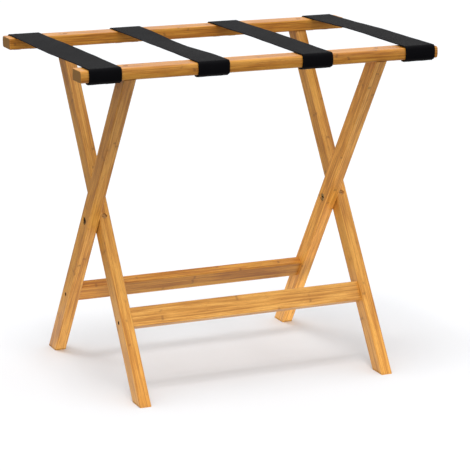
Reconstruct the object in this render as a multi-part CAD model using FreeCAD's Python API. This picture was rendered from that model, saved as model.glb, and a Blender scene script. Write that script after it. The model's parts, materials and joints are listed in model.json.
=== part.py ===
import FreeCAD, Part
import math
import os

# Folding luggage rack of laminated bamboo, in millimetres.
# +X runs along the rails, +Y to the back and +Z up. The origin is on the floor, midway between the feet.
# Two frames cross on one pivot axis along X. The front frame carries the front rail and has its feet at the
# back; the rear frame is the same frame turned half a turn about +Z. Four webbing straps join the two rails
# and stop the frames from opening any further.

# Rails
RAIL_LENGTH = 600.0
RAIL_DEPTH = 37.4
RAIL_HEIGHT = 18.6
RAIL_TOP_Z = 533.5
RAIL_CENTRE_Y = 167.0
RAIL_BULGE = 1.5
RAIL_OUTER_ROUND = 4.0
RAIL_INNER_ROUND = 2.0
RAIL_END_ROUND = 1.8

# Legs and stretchers
PIVOT_Z = 259.0
LEG_WIDTH = 28.8
LEG_THICKNESS = 19.2
LEG_OUTSIDE_X = 230.5
LEG_EDGE_ROUND = 2.0
PIVOT_GAP = 1.0
STRETCHER_DROP = 169.5
STRETCHER_HEIGHT = 32.0
STRETCHER_THICKNESS = 15.4
STRETCHER_ROUND = 1.8

# Pivot hardware: a machine bolt through each front frame leg into a barrel nut in the rear frame leg
BOLT_RADIUS = 3.0
BOLT_HEAD_RADIUS = 6.5
BOLT_HEAD_HEIGHT = 3.4
BOLT_HEAD_RECESS = 0.8
BOLT_HEAD_ROUND = 0.8
BARREL_RADIUS = 4.2
BARREL_LENGTH = 25.0
WASHER_RADIUS = 9.0
WASHER_THICKNESS = 0.8

# Wood screws, the plugs over the rail screws, and dowels
SCREW_RADIUS = 1.6
SCREW_HEAD_RADIUS = 2.7
SCREW_HEAD_HEIGHT = 1.8
SCREW_TIP = 5.0
RAIL_SCREW_LENGTH = 39.0
RAIL_SCREW_INSET = 4.0
PLUG_RADIUS = 4.0
PLUG_LENGTH = 5.0
PLUG_CROWN = 0.2
STRETCHER_SCREW_RECESS = 1.6
STRETCHER_SCREW_LENGTH = 45.0
STRETCHER_SCREW_OFFSET = -5.0
DOWEL_RADIUS = 3.0
DOWEL_CHAMFER = 0.8
RAIL_DOWEL_OUTSET = 7.0
RAIL_DOWEL_UP = 9.0
RAIL_DOWEL_DOWN = 8.0
STRETCHER_DOWEL_OFFSET = 7.0
STRETCHER_DOWEL_IN_LEG = 8.0
STRETCHER_DOWEL_IN_RAIL = 14.0

# Straps, hemmed double at both ends, and the staples that hold them under the rails
STRAP_WIDTH = 52.2
STRAP_SPACING = 176.4
STRAP_THICKNESS = 1.8
STRAP_CLEARANCE = 0.3
STRAP_TUCK = 14.0
HEM_START = 8.0
HEM_STEP = 3.0
STAPLE_CROWN = 12.0
STAPLE_WIRE_WIDTH = 1.2
STAPLE_WIRE_THICKNESS = 0.7
STAPLE_DEPTH = 9.5
STAPLE_PITCH = 28.0
STAPLE_INSET = 10.6

# Clearances
FIT = 0.05
TURNING_GAP = 0.3
DRILL_OVERSHOOT = 2.0

# Worked out from the above
RAIL_UNDERSIDE_Z = RAIL_TOP_Z - RAIL_HEIGHT
RAIL_MIDDLE_Z = RAIL_TOP_Z - RAIL_HEIGHT / 2
RAIL_OUTER_Y = RAIL_CENTRE_Y + RAIL_DEPTH / 2
RAIL_INNER_Y = RAIL_CENTRE_Y - RAIL_DEPTH / 2
BULGE_RADIUS = ((RAIL_HEIGHT / 2) ** 2 + RAIL_BULGE**2) / (2 * RAIL_BULGE)
BULGE_Y = RAIL_OUTER_Y - BULGE_RADIUS
CORNER_RISE = RAIL_HEIGHT / 2 - RAIL_OUTER_ROUND
CORNER_Y = BULGE_Y + math.sqrt((BULGE_RADIUS - RAIL_OUTER_ROUND) ** 2 - CORNER_RISE**2)
CORNER_ANGLE = math.degrees(math.atan2(CORNER_RISE, CORNER_Y - BULGE_Y))
LEG_ANGLE = math.atan2(RAIL_CENTRE_Y, RAIL_UNDERSIDE_Z - PIVOT_Z)
OUTER_LEG_X = -LEG_OUTSIDE_X + LEG_THICKNESS / 2
INNER_LEG_X = LEG_OUTSIDE_X - 1.5 * LEG_THICKNESS - PIVOT_GAP
SLAB = 2 * RAIL_LENGTH

ORIGIN = FreeCAD.Vector(0, 0, 0)
X_AXIS = FreeCAD.Vector(1, 0, 0)
Z_AXIS = FreeCAD.Vector(0, 0, 1)
UP_THE_LEG = FreeCAD.Vector(0, -math.sin(LEG_ANGLE), math.cos(LEG_ANGLE))
ACROSS_THE_LEG = FreeCAD.Vector(0, math.cos(LEG_ANGLE), math.sin(LEG_ANGLE))
PIVOT = FreeCAD.Vector(0, 0, PIVOT_Z)
STRETCHER_CENTRE = PIVOT - UP_THE_LEG * STRETCHER_DROP


def box(size_x, size_y, size_z, centre):
    """A box about its centre."""
    corner = centre - FreeCAD.Vector(size_x / 2, size_y / 2, size_z / 2)
    return Part.makeBox(size_x, size_y, size_z, corner)


def turned(profile, start, direction):
    """A solid of revolution: (radius, distance) points along an axis from start in direction."""
    points = [FreeCAD.Vector(radius, 0, along) for radius, along in profile]
    face = Part.Face(Part.makePolygon(points + points[:1]))
    solid = face.revolve(ORIGIN, Z_AXIS, 360)
    solid.Placement = FreeCAD.Placement(start, FreeCAD.Rotation(Z_AXIS, direction))
    return solid


def long_edges(shape, length):
    """The straight edges along X of that length or more."""
    return [edge for edge in shape.Edges if edge.Length > length - 1 and abs(edge.tangentAt(0).x) > 0.99]


def leaning(shape):
    """The shape, drawn upright about the pivot's own level, leaned as the front frame's legs lean."""
    shape.rotate(PIVOT, X_AXIS, math.degrees(LEG_ANGLE))
    return shape


def for_rear_frame(shape):
    """The shape turned half a turn about +Z, which takes either frame to the other."""
    turned_shape = shape.copy()
    turned_shape.rotate(ORIGIN, Z_AXIS, 180)
    return turned_shape


def arc(centre_y, centre_z, radius, start, end):
    """An arc in the plane x = 0, between two angles in degrees from +Y."""
    points = []
    for angle in (start, (start + end) / 2, end):
        reach = math.radians(angle)
        points.append(
            FreeCAD.Vector(0, centre_y + radius * math.cos(reach), centre_z + radius * math.sin(reach))
        )
    return Part.Arc(*points).toShape()


def outer_side(offset):
    """The rear rail's bulged outer side and its two rounded corners, moved out by offset, from the bottom up."""
    corner = RAIL_OUTER_ROUND + offset
    low = RAIL_MIDDLE_Z - CORNER_RISE
    high = RAIL_MIDDLE_Z + CORNER_RISE
    return [
        arc(CORNER_Y, low, corner, -90, -CORNER_ANGLE),
        arc(BULGE_Y, RAIL_MIDDLE_Z, BULGE_RADIUS + offset, -CORNER_ANGLE, CORNER_ANGLE),
        arc(CORNER_Y, high, corner, CORNER_ANGLE, 90),
    ]


def first_point(edge):
    """Where an edge starts."""
    return edge.valueAt(edge.FirstParameter)


def last_point(edge):
    """Where an edge ends."""
    return edge.valueAt(edge.LastParameter)


def rail():
    """The front rail: its outer side bulges gently, so the straps bend softly round it."""
    outer = outer_side(0)
    inner_bottom = FreeCAD.Vector(0, RAIL_INNER_Y, RAIL_UNDERSIDE_Z)
    inner_top = FreeCAD.Vector(0, RAIL_INNER_Y, RAIL_TOP_Z)
    flats = [
        Part.makeLine(last_point(outer[-1]), inner_top),
        Part.makeLine(inner_top, inner_bottom),
        Part.makeLine(inner_bottom, first_point(outer[0])),
    ]
    section = Part.Face(Part.Wire(outer + flats))
    section.translate(X_AXIS * (-RAIL_LENGTH / 2))
    blank = section.extrude(X_AXIS * RAIL_LENGTH)
    inner_edges = [
        edge
        for edge in long_edges(blank, RAIL_LENGTH)
        if abs(edge.CenterOfMass.y - RAIL_INNER_Y) < 0.01
    ]
    blank = blank.makeFillet(RAIL_INNER_ROUND, inner_edges)
    ends = [edge for edge in blank.Edges if abs(edge.BoundBox.XLength) < 0.01]
    return for_rear_frame(blank.makeFillet(RAIL_END_ROUND, ends))


def leg(centre_x):
    """A front frame leg, cut level with the floor and with the rail's underside."""
    blank = box(
        LEG_THICKNESS,
        LEG_WIDTH,
        SLAB,
        FreeCAD.Vector(centre_x, 0, PIVOT_Z),
    )
    blank = blank.makeFillet(
        LEG_EDGE_ROUND, [edge for edge in blank.Edges if edge.Length > SLAB - 1]
    )
    level = box(
        SLAB,
        SLAB,
        RAIL_UNDERSIDE_Z,
        FreeCAD.Vector(0, 0, RAIL_UNDERSIDE_Z / 2),
    )
    return leaning(blank).common(level)


def stretcher():
    """The front frame's stretcher, which fills the space between the inner faces of its legs."""
    left = OUTER_LEG_X + LEG_THICKNESS / 2
    right = INNER_LEG_X - LEG_THICKNESS / 2
    blank = box(
        right - left,
        STRETCHER_THICKNESS,
        STRETCHER_HEIGHT,
        FreeCAD.Vector((left + right) / 2, 0, PIVOT_Z - STRETCHER_DROP),
    )
    blank = blank.makeFillet(STRETCHER_ROUND, long_edges(blank, right - left))
    return leaning(blank)


def recess(size, depth, start, direction):
    """A cross recess sunk along direction from the head's face at start."""
    width = 0.22 * size
    arms = Part.makeBox(size, width, depth + 1, FreeCAD.Vector(-size / 2, -width / 2, -1))
    arms = arms.fuse(
        Part.makeBox(width, size, depth + 1, FreeCAD.Vector(-width / 2, -size / 2, -1))
    )
    arms.Placement = FreeCAD.Placement(start, FreeCAD.Rotation(Z_AXIS, direction))
    return arms


def screw(start, direction, length):
    """A countersunk wood screw whose head's face is at start."""
    body = turned(
        [
            (0, 0),
            (SCREW_HEAD_RADIUS, 0),
            (SCREW_RADIUS, SCREW_HEAD_HEIGHT),
            (SCREW_RADIUS, length - SCREW_TIP),
            (0, length),
        ],
        start,
        direction,
    )
    return body.cut(recess(1.2 * SCREW_HEAD_RADIUS, 1.4, start, direction))


def screw_hole(start, direction, length):
    """The countersunk hole for a screw whose head's face is at start."""
    return turned(
        [
            (0, -DRILL_OVERSHOOT),
            (SCREW_HEAD_RADIUS + FIT, -DRILL_OVERSHOOT),
            (SCREW_HEAD_RADIUS + FIT, FIT),
            (SCREW_RADIUS + FIT, SCREW_HEAD_HEIGHT + FIT),
            (SCREW_RADIUS + FIT, length + FIT),
            (0, length + FIT),
        ],
        start,
        direction,
    )


def plug(top):
    """A wood plug over a sunk screw, with its slightly crowned face at top."""
    return turned(
        [
            (0, 0),
            (PLUG_RADIUS, PLUG_CROWN),
            (PLUG_RADIUS, PLUG_LENGTH),
            (0, PLUG_LENGTH),
        ],
        top,
        -Z_AXIS,
    )


def dowel(start, direction, length):
    """A fluted-end beech dowel with chamfered ends."""
    return turned(
        [
            (0, 0),
            (DOWEL_RADIUS - DOWEL_CHAMFER, 0),
            (DOWEL_RADIUS, DOWEL_CHAMFER),
            (DOWEL_RADIUS, length - DOWEL_CHAMFER),
            (DOWEL_RADIUS - DOWEL_CHAMFER, length),
            (0, length),
        ],
        start,
        direction,
    )


def drill(radius, length, start, direction):
    """A plain drilled hole."""
    return Part.makeCylinder(radius, length, start, direction)


def rail_joint(centre_x):
    """The screw, its plug, the dowel and their holes where the front rail sits on one leg."""
    top = FreeCAD.Vector(centre_x, -RAIL_CENTRE_Y + RAIL_SCREW_INSET, RAIL_TOP_Z)
    head = top - Z_AXIS * (PLUG_LENGTH + FIT)
    foot = FreeCAD.Vector(
        centre_x, -RAIL_CENTRE_Y - RAIL_DOWEL_OUTSET, RAIL_UNDERSIDE_Z - RAIL_DOWEL_DOWN
    )
    length = RAIL_DOWEL_UP + RAIL_DOWEL_DOWN
    deeper = FreeCAD.Vector(0, 0, FIT)
    return {
        "plug": plug(top),
        "screw": screw(head, -Z_AXIS, RAIL_SCREW_LENGTH),
        "dowel": dowel(foot, Z_AXIS, length),
        "holes": [
            screw_hole(head, -Z_AXIS, RAIL_SCREW_LENGTH),
            drill(PLUG_RADIUS + FIT, PLUG_LENGTH + FIT + DRILL_OVERSHOOT, head, Z_AXIS),
            drill(DOWEL_RADIUS + FIT, length + 2 * FIT, foot - deeper, Z_AXIS),
        ],
    }


def stretcher_joint(centre_x, inwards):
    """The screw, the dowel and their holes where the front frame's stretcher meets one leg."""
    outer_face = centre_x - inwards * LEG_THICKNESS / 2
    inner_face = centre_x + inwards * LEG_THICKNESS / 2
    direction = X_AXIS * inwards
    screw_line = STRETCHER_CENTRE + UP_THE_LEG * STRETCHER_SCREW_OFFSET
    dowel_line = STRETCHER_CENTRE + UP_THE_LEG * STRETCHER_DOWEL_OFFSET
    head = screw_line + X_AXIS * (outer_face + inwards * STRETCHER_SCREW_RECESS)
    foot = dowel_line + X_AXIS * (inner_face - inwards * STRETCHER_DOWEL_IN_LEG)
    length = STRETCHER_DOWEL_IN_LEG + STRETCHER_DOWEL_IN_RAIL
    return {
        "screw": screw(head, direction, STRETCHER_SCREW_LENGTH),
        "dowel": dowel(foot, direction, length),
        "holes": [
            screw_hole(head, direction, STRETCHER_SCREW_LENGTH),
            drill(DOWEL_RADIUS + FIT, length + 2 * FIT, foot - direction * FIT, direction),
        ],
    }


def pivot(front_x, rear_x):
    """The bolt, barrel nut, washer and holes of one pivot, with legs centred on front_x and rear_x."""
    front_face = front_x - LEG_THICKNESS / 2
    rear_face = rear_x - LEG_THICKNESS / 2
    head = PIVOT + X_AXIS * (front_face + BOLT_HEAD_RECESS)
    reach = rear_x + 0.8 * BARREL_RADIUS - front_face - BOLT_HEAD_RECESS
    bolt = turned(
        [
            (0, 0),
            (BOLT_HEAD_RADIUS - BOLT_HEAD_ROUND, 0),
            (BOLT_HEAD_RADIUS, BOLT_HEAD_ROUND),
            (BOLT_HEAD_RADIUS, BOLT_HEAD_HEIGHT),
            (BOLT_RADIUS, BOLT_HEAD_HEIGHT),
            (BOLT_RADIUS, reach - BOLT_HEAD_ROUND),
            (BOLT_RADIUS - BOLT_HEAD_ROUND, reach),
            (0, reach),
        ],
        head,
        X_AXIS,
    )
    bolt = bolt.cut(recess(1.45 * BOLT_HEAD_RADIUS, 2.2, head, X_AXIS))
    shank_hole = drill(BOLT_RADIUS + FIT, SLAB, PIVOT - X_AXIS * (SLAB / 2), X_AXIS)
    head_hole = drill(
        BOLT_HEAD_RADIUS + TURNING_GAP,
        BOLT_HEAD_RECESS + BOLT_HEAD_HEIGHT + TURNING_GAP + DRILL_OVERSHOOT,
        PIVOT + X_AXIS * (front_face - DRILL_OVERSHOOT),
        X_AXIS,
    )
    along = FreeCAD.Vector(ACROSS_THE_LEG.x, -ACROSS_THE_LEG.y, ACROSS_THE_LEG.z)
    centre = PIVOT + X_AXIS * rear_x
    nut = drill(BARREL_RADIUS, BARREL_LENGTH, centre - along * (BARREL_LENGTH / 2), along)
    nut = nut.cut(shank_hole)
    nut_end = centre + along * (BARREL_LENGTH / 2)
    slot = box(2 * BARREL_RADIUS + 1, 1.2, 2.4, ORIGIN)
    slot.Placement = FreeCAD.Placement(nut_end, FreeCAD.Rotation(Z_AXIS, along))
    barrel_hole = drill(
        BARREL_RADIUS + FIT,
        BARREL_LENGTH / 2 + LEG_WIDTH,
        centre - along * (BARREL_LENGTH / 2 + FIT),
        along,
    )
    shank_in_rear = drill(
        BOLT_RADIUS + FIT,
        reach,
        PIVOT + X_AXIS * (rear_face - DRILL_OVERSHOOT),
        X_AXIS,
    )
    washer = drill(
        WASHER_RADIUS,
        WASHER_THICKNESS,
        PIVOT + X_AXIS * (rear_face - WASHER_THICKNESS),
        X_AXIS,
    )
    return {
        "bolt": bolt,
        "nut": nut.cut(slot),
        "washer": washer.cut(shank_hole),
        "front_holes": [shank_hole, head_hole],
        "rear_holes": [shank_in_rear, barrel_hole],
    }


def strap_half(offset):
    """One face of a strap on the rear half, from under the rear rail round it to the middle of the rack."""
    outer = outer_side(offset)
    below = RAIL_UNDERSIDE_Z - offset
    above = RAIL_TOP_Z + offset
    tuck = FreeCAD.Vector(0, RAIL_OUTER_Y - STRAP_TUCK, below)
    middle = FreeCAD.Vector(0, 0, above)
    start = first_point(outer[0])
    if offset == STRAP_CLEARANCE:
        hem = [Part.makeLine(tuck, start)]
    else:
        lower_tuck = tuck - Z_AXIS * STRAP_THICKNESS
        step_low = FreeCAD.Vector(0, RAIL_OUTER_Y - HEM_START, below - STRAP_THICKNESS)
        step_high = FreeCAD.Vector(0, RAIL_OUTER_Y - HEM_START + HEM_STEP, below)
        hem = [
            Part.makeLine(lower_tuck, step_low),
            Part.makeLine(step_low, step_high),
            Part.makeLine(step_high, start),
        ]
    return hem + outer + [Part.makeLine(last_point(outer[-1]), middle)]


def strap(centre_x):
    """One taut webbing strap, wrapped over both rails, tucked under them and hemmed double there."""
    near = strap_half(STRAP_CLEARANCE)
    far = strap_half(STRAP_CLEARANCE + STRAP_THICKNESS)
    end_near = first_point(near[0])
    fold = arc(end_near.y, end_near.z - STRAP_THICKNESS, STRAP_THICKNESS, 90, 270)
    middle = Part.makeLine(last_point(near[-1]), last_point(far[-1]))
    outline = Part.Wire(Part.__sortEdges__(near + [middle] + far + [fold]))
    half = Part.Face(outline).extrude(X_AXIS * STRAP_WIDTH)
    half.translate(X_AXIS * (-STRAP_WIDTH / 2))
    ribbon = half.fuse(for_rear_frame(half)).removeSplitter()
    ribbon.translate(X_AXIS * centre_x)
    return ribbon


def staple(centre_x, grow):
    """A staple under the front rail: a crown below the strap's hem and two legs up into the rail."""
    y = -RAIL_OUTER_Y + STAPLE_INSET
    crown_top = RAIL_UNDERSIDE_Z - STRAP_CLEARANCE - 2 * STRAP_THICKNESS
    crown = box(
        STAPLE_CROWN,
        STAPLE_WIRE_WIDTH,
        STAPLE_WIRE_THICKNESS,
        FreeCAD.Vector(centre_x, y, crown_top - STAPLE_WIRE_THICKNESS / 2),
    )
    for side in (-1, 1):
        crown = crown.fuse(
            box(
                STAPLE_WIRE_THICKNESS + grow,
                STAPLE_WIRE_WIDTH + grow,
                STAPLE_DEPTH + grow,
                FreeCAD.Vector(
                    centre_x + side * (STAPLE_CROWN - STAPLE_WIRE_THICKNESS) / 2,
                    y,
                    crown_top + STAPLE_DEPTH / 2 - STAPLE_WIRE_THICKNESS / 2,
                ),
            )
        )
    return crown.removeSplitter()


def staple_places(strap_centres):
    """The middle of every staple along one rail."""
    return [x + side * STAPLE_PITCH / 2 for x in strap_centres for side in (-1, 1)]


def cut_all(shape, tools):
    """The shape with every tool cut out of it."""
    return shape.cut(Part.makeCompound(tools))


def build():
    """Every node of the rack, by name."""
    strap_centres = [(index - 1.5) * STRAP_SPACING for index in range(4)]
    rail_joints = [rail_joint(x) for x in (OUTER_LEG_X, INNER_LEG_X)]
    stretcher_joints = [
        stretcher_joint(OUTER_LEG_X, 1),
        stretcher_joint(INNER_LEG_X, -1),
    ]
    pivots = {
        "left": pivot(OUTER_LEG_X, -INNER_LEG_X),
        "right": pivot(INNER_LEG_X, -OUTER_LEG_X),
    }
    staples = [staple(x, 0) for x in staple_places(strap_centres)]
    staple_holes = [staple(x, 2 * FIT) for x in staple_places(strap_centres)]
    rail_holes = [hole for joint in rail_joints for hole in joint["holes"]]
    stretcher_holes = [hole for joint in stretcher_joints for hole in joint["holes"]]

    own_parts = {
        "rail": cut_all(rail(), rail_holes + staple_holes),
        "outer_leg": cut_all(leg(OUTER_LEG_X), rail_holes + stretcher_holes),
        "inner_leg": cut_all(leg(INNER_LEG_X), rail_holes + stretcher_holes),
        "stretcher": cut_all(stretcher(), stretcher_holes),
        "rail_plugs": Part.makeCompound([joint["plug"] for joint in rail_joints]),
        "rail_dowels": Part.makeCompound([joint["dowel"] for joint in rail_joints]),
        "rail_screws": Part.makeCompound([joint["screw"] for joint in rail_joints]),
        "stretcher_dowels": Part.makeCompound([joint["dowel"] for joint in stretcher_joints]),
        "stretcher_screws": Part.makeCompound([joint["screw"] for joint in stretcher_joints]),
        "strap_staples": Part.makeCompound(staples),
    }
    front = dict(own_parts)
    rear = {name: for_rear_frame(shape) for name, shape in own_parts.items()}

    nodes = {}
    front_left = cut_all(front.pop("outer_leg"), pivots["left"]["front_holes"])
    front_right = cut_all(front.pop("inner_leg"), pivots["right"]["front_holes"])
    rear_left = cut_all(rear.pop("inner_leg"), pivots["left"]["rear_holes"])
    rear_right = cut_all(rear.pop("outer_leg"), pivots["right"]["rear_holes"])
    nodes["front_frame_left_leg"] = front_left
    nodes["front_frame_right_leg"] = front_right
    nodes["rear_frame_left_leg"] = rear_left
    nodes["rear_frame_right_leg"] = rear_right
    for frame_name, parts in (("front", front), ("rear", rear)):
        nodes[f"{frame_name}_rail"] = parts.pop("rail")
        for name, shape in parts.items():
            nodes[f"{frame_name}_frame_{name}"] = shape
    for side, parts in pivots.items():
        nodes[f"{side}_pivot_bolt"] = parts["bolt"]
        nodes[f"{side}_pivot_barrel_nut"] = parts["nut"]
        nodes[f"{side}_pivot_washer"] = parts["washer"]
    tucked_holes = staple_holes + [for_rear_frame(hole) for hole in staple_holes]
    strap_names = ("outer_left", "inner_left", "inner_right", "outer_right")
    for name, centre_x in zip(strap_names, strap_centres):
        nodes[f"{name}_strap"] = cut_all(strap(centre_x), tucked_holes)
    return nodes


os.makedirs("parts", exist_ok=True)
for node_name, node_shape in build().items():
    solids = node_shape.Solids
    whole = solids[0] if len(solids) == 1 else Part.makeCompound(solids)
    assert whole.isValid() and whole.Volume > 0, node_name
    whole.exportStep(f"parts/{node_name}.step")
    limits = whole.BoundBox
    print(
        f"{node_name}: {len(solids)} solid(s), {whole.Volume / 1000:.1f} cm3, "
        f"x {limits.XMin:.1f}..{limits.XMax:.1f}, y {limits.YMin:.1f}..{limits.YMax:.1f}, "
        f"z {limits.ZMin:.1f}..{limits.ZMax:.1f}"
    )
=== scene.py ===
"""Looks of the folding luggage rack, in metres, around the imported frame.

The wooden and metal parts are the frame's own nodes with procedural materials. The four webbing straps are
modelled here as woven ribbons, hemmed and stitched at their tucked ends.
"""

import json
import math

import bmesh
import bpy
from mathutils import Matrix, Vector


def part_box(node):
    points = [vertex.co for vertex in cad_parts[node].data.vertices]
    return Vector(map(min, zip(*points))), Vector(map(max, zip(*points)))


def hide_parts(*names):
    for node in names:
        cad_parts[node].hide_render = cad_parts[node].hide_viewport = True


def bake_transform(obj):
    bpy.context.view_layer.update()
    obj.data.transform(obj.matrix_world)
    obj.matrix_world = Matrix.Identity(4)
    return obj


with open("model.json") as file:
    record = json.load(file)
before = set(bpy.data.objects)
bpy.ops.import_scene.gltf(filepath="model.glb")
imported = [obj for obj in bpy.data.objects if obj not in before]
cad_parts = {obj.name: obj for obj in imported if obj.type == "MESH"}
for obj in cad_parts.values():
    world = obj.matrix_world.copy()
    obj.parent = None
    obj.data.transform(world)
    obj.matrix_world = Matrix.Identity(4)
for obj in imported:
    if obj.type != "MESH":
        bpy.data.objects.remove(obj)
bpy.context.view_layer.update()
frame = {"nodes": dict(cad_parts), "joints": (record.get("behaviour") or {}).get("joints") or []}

MM = 0.001
SOFT_EDGE = 0.3 * MM

# Camera
CAMERA_AT = (-1.3764, -3.1650, 1.0858)
CAMERA_TURN = math.radians(23.989)
CAMERA_TILT = math.radians(-14.198)
CAMERA_ROLL = math.radians(0.189)
CAMERA_LENS = 166.46
SENSOR = 36.0

# Light
KEY_DIRECTION = Vector((-0.145, -0.125, 0.982))
KEY_ANGLE = math.radians(23.0)
KEY_STRENGTH = 1.28
SKY_ABOVE = 1.08
SKY_BACK = 1.12
SKY_FRONT = 1.0
SKY_BELOW = 0.32
FILL_AT = Vector((-0.50, -2.00, 0.14))
FILL_TOWARD = Vector((0.0, 0.0, 0.05))
FILL_WIDTH = 1.0
FILL_HEIGHT = 0.25
FILL_SPREAD = math.radians(24.0)
FILL_WATTS = 0.75
BOUNCE_AT = Vector((0.0, 0.0, 2 * MM))
BOUNCE_LENGTH = 1.2
BOUNCE_DEPTH = 0.8
BOUNCE_WATTS = 1.7
FLOOR_COLOUR = (0.82, 0.82984, 0.8487, 1)
FLOOR_SIZE = 60.0

# Hardware
RECESS_RADIUS = 5.0 * MM
# Colour of the painted shade inside the pivot bolts' cross recesses
RECESS_PAINTED_SHADE = (0.12, 0.070, 0.028, 1)

# Webbing
# How each strap lies: its dip at mid-span, how far right of square it crosses the front rail, how far its
# right edge drops and its left edge rises at mid-span, and how far it stands off the front rail's top
STRAPS = {
    "outer_left_strap": {"sag": 0.4 * MM, "skew": 3.2 * MM, "tilt": -1.3 * MM, "puff": 0.5 * MM},
    "inner_left_strap": {"sag": 1.7 * MM, "skew": 2.1 * MM, "tilt": 1.9 * MM, "puff": 0.2 * MM},
    "inner_right_strap": {"sag": -0.9 * MM, "skew": 0.0, "tilt": 0.0, "puff": 0.5 * MM},
    "outer_right_strap": {"sag": -1.5 * MM, "skew": 3.0 * MM, "tilt": 0.5 * MM, "puff": 1.5 * MM},
}
RAIL_BULGE = 1.5 * MM
RAIL_OUTER_ROUND = 4.0 * MM
STRAP_CLEARANCE = 0.3 * MM
STRAP_TUCK = 14.0 * MM
WEB_THICKNESS = 1.7 * MM
HEM_LENGTH = 6.5 * MM
HEM_STEP = 2.8 * MM
HEM_GAP = 0.2 * MM
STITCH_PITCH = 3.6 * MM
STITCH_RADIUS = 0.32 * MM
STITCH_HALF_LENGTH = 1.25 * MM
STITCH_MARGIN = 3.0 * MM
STITCH_INSET = 3.5 * MM
SPAN_STEPS = 60
RIPPLE_LIFT = 0.16 * MM
WEAVE_ROW = 1.5 * MM
WEAVE_STEP = 1.1 * MM
WEBBING_DARK = (0.0007, 0.0006, 0.0011, 1)
WEBBING_WORN = (0.0042, 0.0038, 0.0062, 1)

# Bamboo
# Colours from dark to pale fibres, in straw-coloured and in amber members
STRAW = (Vector((0.42, 0.172, 0.024)), Vector((0.60, 0.272, 0.044)), Vector((0.73, 0.378, 0.084)))
AMBER = (Vector((0.40, 0.130, 0.008)), Vector((0.60, 0.232, 0.019)), Vector((0.74, 0.338, 0.040)))
BAMBOO_FIBRE = (0.22, 0.072, 0.008, 1)
BAMBOO_KNUCKLE = (0.17, 0.055, 0.010, 1)
# Colour of the painted shade on the wall of each leg's screw hole
BORE_PAINTED_SHADE = (0.035, 0.014, 0.004, 1)
BORE_RADIUS = 3.0 * MM
END_PALE = (0.27, 0.125, 0.016, 1)
END_DARK = (0.13, 0.052, 0.007, 1)
STRIP_WIDTH = 19.0 * MM
STRIP_SHIFT = 0.33
LAYER_HEIGHT = 5.6 * MM
GRAIN_DRIFT = 3.0 * MM
KNUCKLE_PITCH = 0.26
KNUCKLE_WOBBLE = 9.0 * MM
PORE_DENSITY = 950.0
# Share of each kind of variation in the wood's tone
STRIP_SHARE = 0.12
STREAK_SHARE = 0.30
CLOUD_SHARE = 0.26
FINE_SHARE = 0.32
# How strongly each mark covers the wood's own colour
FIBRE_COVER = 0.38
GLUE_COVER = 0.30
HALO_COVER = 0.22
KNUCKLE_COVER = 0.50
PORE_COVER = 0.6


class Graph:
    """A material's node tree, with short calls to add and join nodes."""

    def __init__(self, name):
        self.material = bpy.data.materials.new(name)
        self.material.use_nodes = True
        self.tree = self.material.node_tree
        self.tree.nodes.clear()

    def add(self, kind, inputs=None, **settings):
        """A node of that kind; inputs maps sockets to values or to the outputs that feed them."""
        node = self.tree.nodes.new("ShaderNode" + kind)
        for key, value in settings.items():
            setattr(node, key, value)
        for key, value in (inputs or {}).items():
            if isinstance(value, bpy.types.NodeSocket):
                self.tree.links.new(value, node.inputs[key])
            else:
                node.inputs[key].default_value = value
        return node

    def math(self, operation, a, b=0.0):
        return self.add("Math", {0: a, 1: b}, operation=operation).outputs[0]

    def smooth(self, value, low, high, start=0.0, end=1.0):
        """value's smooth step from start, at low, to end, at high."""
        node = self.add(
            "MapRange",
            {"Value": value, "From Min": low, "From Max": high, "To Min": start, "To Max": end},
            interpolation_type="SMOOTHSTEP",
        )
        return node.outputs[0]

    def noise(self, vector, scale=1.0, detail=2.0, roughness=0.5):
        node = self.add(
            "TexNoise",
            {"Vector": vector, "Scale": scale, "Detail": detail, "Roughness": roughness},
        )
        return node.outputs[0]

    def scaled(self, value, factor):
        return self.math("MULTIPLY", value, factor)

    def mix(self, factor, a, b):
        node = self.add("Mix", {0: factor, 6: a, 7: b}, data_type="RGBA")
        return node.outputs[2]

    def cover(self, colour, mark, strength, over):
        """colour, with over laid on it where mark is 1, as strongly as strength."""
        return self.mix(self.scaled(mark, strength), colour, over)

    def ramp(self, value, stops):
        """value's colour on a ramp through the stops: (position, colour) pairs, from low to high."""
        node = self.add("ValToRGB", {0: value})
        elements = node.color_ramp.elements
        for position, _ in stops[2:]:
            elements.new(position)
        for element, (position, colour) in zip(elements, stops):
            element.position = position
            element.color = colour
        return node.outputs[0]

    def vector(self, x, y, z):
        return self.add("CombineXYZ", {0: x, 1: y, 2: z}).outputs[0]

    def off_axis(self, point):
        """The distance from the line along X through point."""
        place = self.add("TexCoord").outputs["Object"]
        away = self.add("VectorMath", {0: place, 1: point}, operation="SUBTRACT").outputs[0]
        across = self.add("VectorMath", {0: away, 1: (0.0, 1.0, 1.0)}, operation="MULTIPLY").outputs[0]
        return self.add("VectorMath", {0: across}, operation="LENGTH").outputs["Value"]

    def finish(self, **inputs):
        """Joins a Principled shader with these inputs to the output; an underscore stands for a space."""
        named = {key.replace("_", " "): value for key, value in inputs.items()}
        shader = self.add("BsdfPrincipled", named)
        self.add("OutputMaterial", {"Surface": shader.outputs[0]})
        return self.material


def paint(node, material):
    """Gives one of the frame's nodes its material, in every slot."""
    owner = frame["nodes"][node]
    owner.data.materials.clear()
    owner.data.materials.append(material)


# Bamboo -------------------------------------------------------------------------------------------


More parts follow.
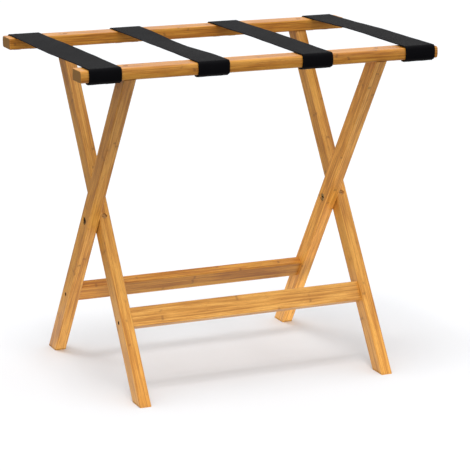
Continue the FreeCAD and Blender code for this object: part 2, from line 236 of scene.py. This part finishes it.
def bamboo(name, centre, lean, axes, seed, amber, light, bore=None):
    """Laminated bamboo: strips in glued layers, each with long fibres and its own knuckles.

    lean is the member's turn about X, and axes names its length, the strips' width and the layers' height
    once it is upright. amber goes from 0, straw-coloured, to 1, amber, and light is how pale the member is,
    with 1 the usual. bore is a point on the axis of a screw hole along X, whose wall is painted dark as the
    hole's shade.
    """
    blend = [straw.lerp(deep, amber) * light for straw, deep in zip(STRAW, AMBER)]
    dark, middling, pale = (colour.to_4d() for colour in blend)
    g = Graph(name)
    texture = g.add("TexCoord")
    local = g.add("VectorMath", {0: texture.outputs["Object"], 1: centre}, operation="SUBTRACT")
    upright = g.add("VectorRotate", {"Vector": local.outputs[0], "Angle": -lean}, rotation_type="X_AXIS")
    facing = g.add(
        "VectorRotate", {"Vector": texture.outputs["Normal"], "Angle": -lean}, rotation_type="X_AXIS"
    )
    split = g.add("SeparateXYZ", {0: upright.outputs[0]})
    normal = g.add("SeparateXYZ", {0: facing.outputs[0]})
    along, wide, thin = (split.outputs[axis] for axis in axes)
    end_facing = g.math("ABSOLUTE", normal.outputs[axes[0]])

    wander = g.noise(g.vector(g.scaled(along, 2.6), seed * 3.7, 0.0), 1.0, 1.0)
    drift = g.scaled(g.math("SUBTRACT", wander, 0.5), GRAIN_DRIFT)
    drifted_wide = g.math("ADD", wide, drift)
    drifted_thin = g.math("ADD", thin, g.scaled(drift, 0.4))
    strip_place = g.math("ADD", g.math("DIVIDE", drifted_wide, STRIP_WIDTH), STRIP_SHIFT * seed)
    layer_place = g.math("ADD", g.math("DIVIDE", drifted_thin, LAYER_HEIGHT), 0.5)
    strip = g.math("FLOOR", strip_place)
    layer = g.math("FLOOR", layer_place)
    own = g.add("TexWhiteNoise", {"Vector": g.vector(strip, layer, seed)}, noise_dimensions="3D")
    shade = own.outputs["Value"]
    offset = g.add("SeparateColor", {0: own.outputs["Color"]}).outputs[1]

    shifted = g.math("ADD", along, g.scaled(offset, 5.0))
    streak = grain(g, shifted, wide, thin, 7.0, 420.0, 2.0)
    fine = grain(g, shifted, wide, thin, 24.0, 1100.0, 2.0)
    cloud = grain(g, shifted, wide, thin, 9.0, 48.0, 2.0)
    fleck = grain(g, shifted, wide, thin, 120.0, 1500.0, 1.0)

    wobble = grain(g, shifted, wide, thin, 0.0, 190.0, 2.0)
    knuckle_place = g.math("ADD", shifted, g.scaled(wobble, KNUCKLE_WOBBLE))
    phase = g.math("FRACT", g.math("DIVIDE", knuckle_place, KNUCKLE_PITCH))
    distance = g.math("ABSOLUTE", g.scaled(g.math("SUBTRACT", phase, 0.5), KNUCKLE_PITCH))
    patchy = g.smooth(grain(g, shifted, wide, thin, 60.0, 150.0, 1.0), 0.30, 0.60)
    line = g.math("MULTIPLY", g.smooth(distance, 0.4 * MM, 3.4 * MM, 1.0, 0.0), patchy)
    halo = g.smooth(distance, 1.0 * MM, 16.0 * MM, 1.0, 0.0)

    tone = g.scaled(shade, STRIP_SHARE)
    tone = g.math("ADD", tone, g.scaled(g.smooth(streak, 0.32, 0.68), STREAK_SHARE))
    tone = g.math("ADD", tone, g.scaled(g.smooth(cloud, 0.34, 0.66), CLOUD_SHARE))
    tone = g.math("ADD", tone, g.scaled(g.smooth(fine, 0.32, 0.68), FINE_SHARE))
    wood = g.ramp(tone, ((0.28, dark), (0.50, middling), (0.72, pale)))

    fibre = g.math("MAXIMUM", g.smooth(fine, 0.56, 0.72), g.smooth(fleck, 0.60, 0.72))
    strip_edge = g.math("ABSOLUTE", g.math("SUBTRACT", g.math("FRACT", strip_place), 0.5))
    layer_edge = g.math("ABSOLUTE", g.math("SUBTRACT", g.math("FRACT", layer_place), 0.5))
    glue = g.math("MAXIMUM", g.smooth(strip_edge, 0.488, 0.497), g.smooth(layer_edge, 0.455, 0.490))
    colour = g.cover(wood, fibre, FIBRE_COVER, BAMBOO_FIBRE)
    colour = g.cover(colour, glue, GLUE_COVER, BAMBOO_FIBRE)
    colour = g.cover(colour, halo, HALO_COVER, dark)
    colour = g.cover(colour, line, KNUCKLE_COVER, BAMBOO_KNUCKLE)

    pore_place = g.vector(g.scaled(wide, PORE_DENSITY), g.scaled(thin, PORE_DENSITY), 0.0)
    pores = g.add("TexVoronoi", {"Vector": pore_place})
    pore = g.smooth(pores.outputs["Distance"], 0.12, 0.42, 1.0, 0.0)
    end_colour = g.cover(END_PALE, pore, PORE_COVER, END_DARK)
    is_end = g.smooth(end_facing, 0.72, 0.95)
    colour = g.mix(is_end, colour, end_colour)
    # Painted shade: the screw hole's wall is made near black, standing in for the hole's shadow
    if bore:
        bore_shade = g.smooth(g.off_axis(bore), BORE_RADIUS, BORE_RADIUS + SOFT_EDGE, 1.0, 0.0)
        colour = g.mix(bore_shade, colour, BORE_PAINTED_SHADE)

    roughness = g.math("ADD", g.scaled(streak, 0.14), 0.34)
    roughness = g.math("ADD", roughness, g.scaled(is_end, 0.35))
    height = g.math("ADD", g.scaled(fine, 0.5), g.scaled(line, 0.8))
    height = g.math("SUBTRACT", height, g.scaled(glue, 0.6))
    bump = g.add("Bump", {"Height": height, "Strength": 0.22, "Distance": 0.25 * MM})
    return g.finish(
        Base_Color=colour,
        Roughness=roughness,
        Normal=bump.outputs[0],
        Coat_Weight=0.08,
        Coat_Roughness=0.20,
        Specular_IOR_Level=0.48,
    )


def grain(g, along, wide, thin, along_scale, across_scale, detail):
    """Noise stretched along the fibres, at features per metre along and across them."""
    place = g.vector(
        g.scaled(along, along_scale),
        g.scaled(wide, across_scale),
        g.scaled(thin, across_scale),
    )
    return g.noise(place, 1.0, detail, 0.55)


def timber():
    """Every wooden member of both frames, with its grain along its length."""
    rail_low, rail_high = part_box("front_rail")
    middle_y = (rail_low.y + rail_high.y) / 2
    pivot_z = frame["joints"][0]["pos_m"][2]
    lean = math.atan2(-middle_y, rail_low.z - pivot_z)
    # Each member: its node, turn, axes, how amber and how pale it is
    members = (
        ("front_rail", 0.0, (0, 1, 2), 0.85, 1.13),
        ("rear_rail", 0.0, (0, 1, 2), 1.0, 1.08),
        ("front_frame_left_leg", lean, (2, 1, 0), 0.50, 1.04),
        ("front_frame_right_leg", lean, (2, 1, 0), 0.35, 1.38),
        ("rear_frame_left_leg", -lean, (2, 1, 0), 0.45, 0.97),
        ("rear_frame_right_leg", -lean, (2, 1, 0), 0.40, 1.03),
        ("front_frame_stretcher", lean, (0, 2, 1), 0.90, 0.96),
        ("rear_frame_stretcher", -lean, (0, 2, 1), 0.10, 0.97),
    )
    for seed, (node, turn, axes, amber, light) in enumerate(members):
        low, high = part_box(node)
        bore = None
        if node.endswith("_leg"):
            screws_low, screws_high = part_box(node.split("_frame")[0] + "_frame_stretcher_screws")
            bore = (screws_low + screws_high) / 2
        paint(node, bamboo("bamboo_" + node, (low + high) / 2, turn, axes, seed + 1.0, amber, light, bore))


# Small parts --------------------------------------------------------------------------------------


def small_wood(name, dark, pale):
    """Wood of the dowels and plugs, with a short fine grain along X."""
    g = Graph(name)
    place = g.add("TexCoord").outputs["Object"]
    stretched = g.add("VectorMath", {0: place, 1: (300.0, 1400.0, 1400.0)}, operation="MULTIPLY")
    fibre = g.noise(stretched.outputs[0], 1.0, 2.0)
    colour = g.mix(fibre, dark, pale)
    bump = g.add("Bump", {"Height": fibre, "Strength": 0.2, "Distance": 0.2 * MM})
    return g.finish(Base_Color=colour, Roughness=0.5, Normal=bump.outputs[0])


def metal(name, light, dark, roughness, recess=None):
    """Plated steel, with fine scratches and duller patches.

    recess is how far from the rack's middle plane a bolt's cross recess begins; a painted shade darkens it.
    """
    g = Graph(name)
    place = g.add("TexCoord").outputs["Object"]
    scratch = g.noise(place, 2600.0, 3.0, 0.7)
    patch = g.noise(place, 320.0, 2.0)
    colour = g.mix(patch, light, dark)
    # Painted shade: the bolt's cross recess is darkened in colour, standing in for its shadow
    if recess:
        sideways = g.math("ABSOLUTE", g.add("SeparateXYZ", {0: place}).outputs[0])
        sunk = g.smooth(sideways, recess, recess + SOFT_EDGE)
        from_axis = g.off_axis(frame["joints"][0]["pos_m"])
        inside = g.smooth(from_axis, RECESS_RADIUS, RECESS_RADIUS + SOFT_EDGE, 1.0, 0.0)
        colour = g.mix(g.math("MULTIPLY", sunk, inside), colour, RECESS_PAINTED_SHADE)
    rough = g.math("ADD", g.scaled(scratch, 0.25), roughness)
    bump = g.add("Bump", {"Height": scratch, "Strength": 0.15, "Distance": 0.05 * MM})
    return g.finish(Base_Color=colour, Metallic=1.0, Roughness=rough, Normal=bump.outputs[0])


def nylon():
    """Black washer plastic."""
    g = Graph("washer_nylon")
    place = g.add("TexCoord").outputs["Object"]
    speckle = g.noise(place, 1800.0, 2.0)
    colour = g.mix(speckle, (0.010, 0.010, 0.010, 1), (0.022, 0.020, 0.019, 1))
    bump = g.add("Bump", {"Height": speckle, "Strength": 0.2, "Distance": 0.1 * MM})
    return g.finish(Base_Color=colour, Roughness=0.55, Normal=bump.outputs[0])


def hardware():
    """Screws, bolts, nuts, washers, staples and dowels."""
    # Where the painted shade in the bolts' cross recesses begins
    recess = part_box("right_pivot_bolt")[0].x + 0.2 * MM
    plated = metal("pivot_brass", (0.80, 0.55, 0.24, 1), (0.60, 0.38, 0.15, 1), 0.30, recess)
    dull = metal("barrel_brass", (0.62, 0.36, 0.14, 1), (0.46, 0.26, 0.10, 1), 0.50)
    zinc = metal("screw_zinc", (0.030, 0.017, 0.008, 1), (0.012, 0.007, 0.003, 1), 0.55)
    wire = metal("staple_wire", (0.58, 0.58, 0.57, 1), (0.40, 0.40, 0.40, 1), 0.28)
    finishes = {
        "dowels": small_wood("dowel_beech", (0.52, 0.36, 0.19, 1), (0.68, 0.50, 0.30, 1)),
        "plugs": small_wood("plug_wood", (0.20, 0.060, 0.012, 1), (0.30, 0.100, 0.022, 1)),
        "screws": zinc,
        "staples": wire,
        "bolt": plated,
        "nut": dull,
        "washer": nylon(),
    }
    for node in frame["nodes"]:
        for word, material in finishes.items():
            if node.endswith(word):
                paint(node, material)


# Webbing ------------------------------------------------------------------------------------------


def webbing():
    """Black woven webbing: short raised floats in staggered rows, dull, with dusty light fibres."""
    g = Graph("webbing_black")
    weave = g.add("Attribute", attribute_name="weave").outputs["Vector"]
    split = g.add("SeparateXYZ", {0: weave})
    along, across = split.outputs[0], split.outputs[1]
    row = g.math("SINE", g.scaled(across, math.pi / WEAVE_ROW))
    ribs = g.math("ABSOLUTE", row)
    stagger = g.scaled(g.math("SIGN", row), 0.8)
    step = g.math("ADD", g.scaled(along, math.pi / WEAVE_STEP), stagger)
    floats = g.math("ABSOLUTE", g.math("SINE", step))
    height = g.math("MULTIPLY", g.math("POWER", ribs, 0.6), g.math("ADD", g.scaled(floats, 0.5), 0.5))
    fuzz = g.noise(weave, 2600.0, 3.0, 0.7)
    wear = g.noise(weave, 45.0, 2.0)
    lift = g.math("MULTIPLY", g.math("MULTIPLY", height, fuzz), g.math("ADD", wear, 0.5))
    colour = g.mix(lift, WEBBING_DARK, WEBBING_WORN)
    bump = g.add("Bump", {"Height": height, "Strength": 0.45, "Distance": 0.22 * MM})
    rough = g.math("ADD", g.scaled(fuzz, 0.2), 0.62)
    return g.finish(
        Base_Color=colour,
        Roughness=rough,
        Normal=bump.outputs[0],
        Sheen_Weight=0.02,
        Sheen_Roughness=0.40,
        Specular_IOR_Level=0.08,
    )


def thread():
    """Twisted black stitching thread."""
    g = Graph("stitch_thread")
    place = g.add("TexCoord").outputs["Object"]
    twist = g.noise(place, 3000.0, 1.0)
    colour = g.mix(twist, (0.012, 0.012, 0.014, 1), (0.035, 0.035, 0.040, 1))
    return g.finish(Base_Color=colour, Roughness=0.5)


def arc(centre, radius, start, end, steps):
    """Points on an arc in the (y, z) plane; angles in degrees."""
    points = []
    for index in range(steps + 1):
        angle = math.radians(start + (end - start) * index / steps)
        points.append((centre[0] + radius * math.cos(angle), centre[1] + radius * math.sin(angle)))
    return points


def straight(start, end, steps):
    """Points from start, which is left out, to end."""
    return [
        (
            start[0] + (end[0] - start[0]) * index / steps,
            start[1] + (end[1] - start[1]) * index / steps,
        )
        for index in range(1, steps + 1)
    ]


def half_line(rail_low, rail_high, middle_y):
    """A strap's middle line round the rear rail, from its hem's raw end to the rail's inner top edge."""
    offset = STRAP_CLEARANCE + WEB_THICKNESS / 2
    rise = (rail_high.z - rail_low.z) / 2
    middle_z = rail_low.z + rise
    outer = middle_y + (middle_y - rail_low.y)
    bulge_radius = (rise**2 + RAIL_BULGE**2) / (2 * RAIL_BULGE)
    bulge_y = outer - bulge_radius
    corner_rise = rise - RAIL_OUTER_ROUND
    corner_y = bulge_y + math.sqrt((bulge_radius - RAIL_OUTER_ROUND) ** 2 - corner_rise**2)
    corner_angle = math.degrees(math.atan2(corner_rise, corner_y - bulge_y))
    corner = RAIL_OUTER_ROUND + offset
    under = rail_low.z - offset
    fold = (WEB_THICKNESS + HEM_GAP) / 2
    lower = under - 2 * fold
    tuck = outer - STRAP_TUCK
    step = tuck + HEM_LENGTH

    points = [(step - 0.5 * MM, under)]
    points += straight(points[-1], (tuck + fold, under), 8)
    points += arc((tuck + fold, under - fold), fold, 90, 270, 8)[1:]
    points += straight(points[-1], (step, lower), 8)
    for index in range(1, 9):
        share = index / 8
        eased = share * share * (3 - 2 * share)
        points.append((step + HEM_STEP * share, lower + 2 * fold * eased))
    points += straight(points[-1], (corner_y, under), 2)
    points += arc((corner_y, middle_z - corner_rise), corner, -90, -corner_angle, 7)[1:]
    points += arc((bulge_y, middle_z), bulge_radius + offset, -corner_angle, corner_angle, 8)[1:]
    points += arc((corner_y, middle_z + corner_rise), corner, corner_angle, 90, 7)[1:]
    points += straight(points[-1], (rail_low.y, rail_high.z + offset), 10)
    return points


def strap_line(rail_low, rail_high, middle_y, sag):
    """The whole middle line, from the front rail's hem over both rails to the rear rail's hem."""
    rear = half_line(rail_low, rail_high, middle_y)
    front = [(-y, z) for y, z in rear]
    inner = rail_low.y
    top = rear[-1][1]
    span = []
    for index in range(1, SPAN_STEPS):
        y = -inner + 2 * inner * index / SPAN_STEPS
        span.append((y, top - sag * mid_span(y, inner)))
    return front + span + rear[::-1]


def mid_span(y, inner):
    """1 half way between the rails' inner edges at -inner and inner, easing to 0 over the rails."""
    if abs(y) >= inner:
        return 0.0
    return (1 + math.cos(math.pi * y / inner)) / 2


def clamped(value):
    return min(max(value, 0.0), 1.0)


def section(width):
    """Half of the ribbon's cross-section: (place across, half thickness) pairs, with a rolled selvedge."""
    half = width / 2
    edge = [
        (half, 0.10),
        (half - 0.15 * MM, 0.45),
        (half - 0.55 * MM, 0.86),
        (half - 1.20 * MM, 1.08),
        (half - 2.00 * MM, 1.06),
        (half - 2.90 * MM, 0.92),
        (half - 4.00 * MM, 0.96),
    ]
    inner = half - 4.0 * MM
    steps = 8
    middle = [(inner - 2 * inner * index / steps, 1.0) for index in range(1, steps)]
    places = edge + middle + [(-x, share) for x, share in reversed(edge)]
    return [(x, share * WEB_THICKNESS / 2) for x, share in places]


def ripple(x, y, seed):
    """A small lift and dip of the cloth, in metres."""
    long_wave = math.sin(41.0 * y + 2.1 * seed) * math.cos(95.0 * x + seed)
    short_wave = math.sin(97.0 * y - 60.0 * x + 4.3 * seed)
    return RIPPLE_LIFT * (long_wave + 0.6 * short_wave)


def strap_mesh(name, node, seed, lie):
    """One strap as a closed woven ribbon, with the stitches of both hems as part of its mesh."""
    low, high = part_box(node)
    rail_low, rail_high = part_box("rear_rail")
    inner = rail_low.y
    middle_y = (rail_low.y + rail_high.y) / 2
    line = strap_line(rail_low, rail_high, middle_y, lie["sag"])
    centre_x = (low.x + high.x) / 2
    width = high.x - low.x
    profile = section(width)
    mesh = bmesh.new()
    weave = mesh.verts.layers.float_vector.new("weave")
    rings = []
    travelled = 0.0
    for index, (y, z) in enumerate(line):
        before = Vector(line[max(index - 1, 0)])
        after = Vector(line[min(index + 1, len(line) - 1)])
        tangent = (after - before).normalized()
        normal = Vector((-tangent.y, tangent.x))
        if index:
            travelled += (Vector(line[index]) - Vector(line[index - 1])).length
        frontward = clamped((inner - y) / (2 * inner))
        upward = clamped((z - rail_low.z) / (rail_high.z - rail_low.z))
        aside = centre_x + lie["skew"] * frontward
        stand = lie["puff"] * upward * frontward**2 * (3 - 2 * frontward)
        slope = lie["tilt"] * mid_span(y, inner) / (width / 2)
        loose = 1.0 - clamped(abs(y / inner)) ** 6
        ring = []
        for side in (1, -1):
            for x, half in profile if side == 1 else reversed(profile):
                lift = side * half + loose * ripple(x, y, seed)
                rise = stand - slope * x
                point = mesh.verts.new((aside + x, y + normal.x * lift, z + normal.y * lift + rise))
                point[weave] = Vector((travelled, x, 0.0))
                ring.append(point)
        rings.append(ring)
    for first, second in zip(rings, rings[1:]):
        for index in range(len(first)):
            after = (index + 1) % len(first)
            mesh.faces.new((first[index], second[index], second[after], first[after]))
    mesh.faces.new(rings[0])
    mesh.faces.new(list(reversed(rings[-1])))
    add_stitches(mesh, weave, centre_x + lie["skew"], width, -1, rail_low, middle_y)
    add_stitches(mesh, weave, centre_x, width, 1, rail_low, middle_y)
    bmesh.ops.recalc_face_normals(mesh, faces=mesh.faces)
    data = bpy.data.meshes.new(name)
    mesh.to_mesh(data)
    mesh.free()
    data.shade_smooth()
    strap = bpy.data.objects.new(name, data)
    bpy.context.scene.collection.objects.link(strap)
    return strap, travelled


def add_stitches(mesh, weave, centre_x, width, end, rail_low, middle_y):
    """A row of stitches across one hem, on its lower face; end is -1 at the front rail, 1 at the rear."""
    outer = 2 * middle_y - rail_low.y
    y = end * (outer - STRAP_TUCK + HEM_LENGTH - STITCH_INSET)
    z = rail_low.z - STRAP_CLEARANCE - 2 * WEB_THICKNESS - HEM_GAP
    count = int((width - 2 * STITCH_MARGIN) / STITCH_PITCH)
    shape = Matrix.Diagonal((STITCH_HALF_LENGTH, STITCH_RADIUS, STITCH_RADIUS, 1))
    for index in range(count):
        x = centre_x + (index - (count - 1) / 2) * STITCH_PITCH
        turn = Matrix.Translation((x, y, z)) @ shape
        made = bmesh.ops.create_icosphere(mesh, subdivisions=2, radius=1.0, matrix=turn)
        for point in made["verts"]:
            point[weave] = point.co
        for face in {face for point in made["verts"] for face in point.link_faces}:
            face.material_index = 1


def straps():
    """The four straps, each a woven ribbon over both rails, in place of the frame's own strap nodes."""
    cloth = webbing()
    sewing = thread()
    for seed, (node, lie) in enumerate(STRAPS.items()):
        strap, length = strap_mesh(node.replace("_strap", "_webbing"), node, seed + 1.0, lie)
        strap.data.materials.append(cloth)
        strap.data.materials.append(sewing)
        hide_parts(node)
        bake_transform(strap)


# Studio -------------------------------------------------------------------------------------------


def floor():
    """A wide pale floor."""
    mesh = bmesh.new()
    bmesh.ops.create_grid(mesh, x_segments=4, y_segments=4, size=FLOOR_SIZE / 2)
    data = bpy.data.meshes.new("floor")
    mesh.to_mesh(data)
    mesh.free()
    g = Graph("floor_white")
    data.materials.append(g.finish(Base_Color=FLOOR_COLOUR, Roughness=0.9, Specular_IOR_Level=0.0))
    plane = bpy.data.objects.new("floor", data)
    plane.visible_diffuse = False
    plane.visible_glossy = False
    bpy.context.scene.collection.objects.link(plane)


def surroundings():
    """A white studio: bright overhead and behind the rack, a little dimmer in front, and dim below."""
    world = bpy.data.worlds.new("studio_white")
    bpy.context.scene.world = world
    world.use_nodes = True
    tree = world.node_tree
    tree.nodes.clear()

    def ramp(value, low, high, start, end):
        node = tree.nodes.new("ShaderNodeMapRange")
        node.interpolation_type = "SMOOTHSTEP"
        tree.links.new(value, node.inputs["Value"])
        for key, amount in (("From Min", low), ("From Max", high), ("To Min", start), ("To Max", end)):
            if isinstance(amount, float):
                node.inputs[key].default_value = amount
            else:
                tree.links.new(amount, node.inputs[key])
        return node.outputs[0]

    way = tree.nodes.new("ShaderNodeTexCoord").outputs["Generated"]
    split = tree.nodes.new("ShaderNodeSeparateXYZ")
    tree.links.new(way, split.inputs[0])
    level = ramp(split.outputs[1], -0.8, 0.8, SKY_FRONT, SKY_BACK)
    upper = ramp(split.outputs[2], 0.0, 0.5, level, SKY_ABOVE)
    strength = ramp(split.outputs[2], -0.06, 0.0, SKY_BELOW, upper)
    background = tree.nodes.new("ShaderNodeBackground")
    tree.links.new(strength, background.inputs["Strength"])
    output = tree.nodes.new("ShaderNodeOutputWorld")
    tree.links.new(background.outputs[0], output.inputs["Surface"])


def key_light():
    """One large soft light, far off and nearly overhead, a little to the front left."""
    light = bpy.data.lights.new("key", "SUN")
    light.angle = KEY_ANGLE
    light.energy = KEY_STRENGTH
    lamp = bpy.data.objects.new("key", light)
    lamp.location = KEY_DIRECTION * 3.0
    lamp.rotation_euler = KEY_DIRECTION.to_track_quat("Z", "Y").to_euler()
    bpy.context.scene.collection.objects.link(lamp)


def soft_box(name, place, facing, width, height, watts, spread=math.pi):
    """A rectangular soft light at place, facing a direction, that the camera doesn't see."""
    light = bpy.data.lights.new(name, "AREA")
    light.shape = "RECTANGLE"
    light.size = width
    light.size_y = height
    light.spread = spread
    light.energy = watts
    lamp = bpy.data.objects.new(name, light)
    lamp.location = place
    lamp.rotation_euler = facing.to_track_quat("-Z", "Y").to_euler()
    lamp.visible_camera = False
    bpy.context.scene.collection.objects.link(lamp)


def fill_lights():
    """A low soft box in front, and the light that the floor around the feet throws back up."""
    soft_box("fill", FILL_AT, FILL_TOWARD - FILL_AT, FILL_WIDTH, FILL_HEIGHT, FILL_WATTS, FILL_SPREAD)
    upward = Vector((0, 0, 1))
    soft_box("bounce", BOUNCE_AT, upward, BOUNCE_LENGTH, BOUNCE_DEPTH, BOUNCE_WATTS)


def camera():
    """The viewing angle: from the front left, a little above the rails."""
    data = bpy.data.cameras.new("camera")
    data.lens = CAMERA_LENS
    data.sensor_width = SENSOR
    data.clip_end = 100.0
    eye = bpy.data.objects.new("camera", data)
    forward = Vector(
        (
            math.sin(CAMERA_TURN) * math.cos(CAMERA_TILT),
            math.cos(CAMERA_TURN) * math.cos(CAMERA_TILT),
            math.sin(CAMERA_TILT),
        )
    )
    level_right = Vector((math.cos(CAMERA_TURN), -math.sin(CAMERA_TURN), 0))
    level_up = level_right.cross(forward)
    right = math.cos(CAMERA_ROLL) * level_right + math.sin(CAMERA_ROLL) * level_up
    up = right.cross(forward)
    turn = Matrix((right, up, -forward)).transposed()
    eye.matrix_world = Matrix.Translation(CAMERA_AT) @ turn.to_4x4()
    bpy.context.scene.collection.objects.link(eye)
    bpy.context.scene.camera = eye


timber()
hardware()
straps()
floor()
surroundings()
key_light()
fill_lights()
camera()
bpy.context.scene.view_settings.view_transform = "Standard"
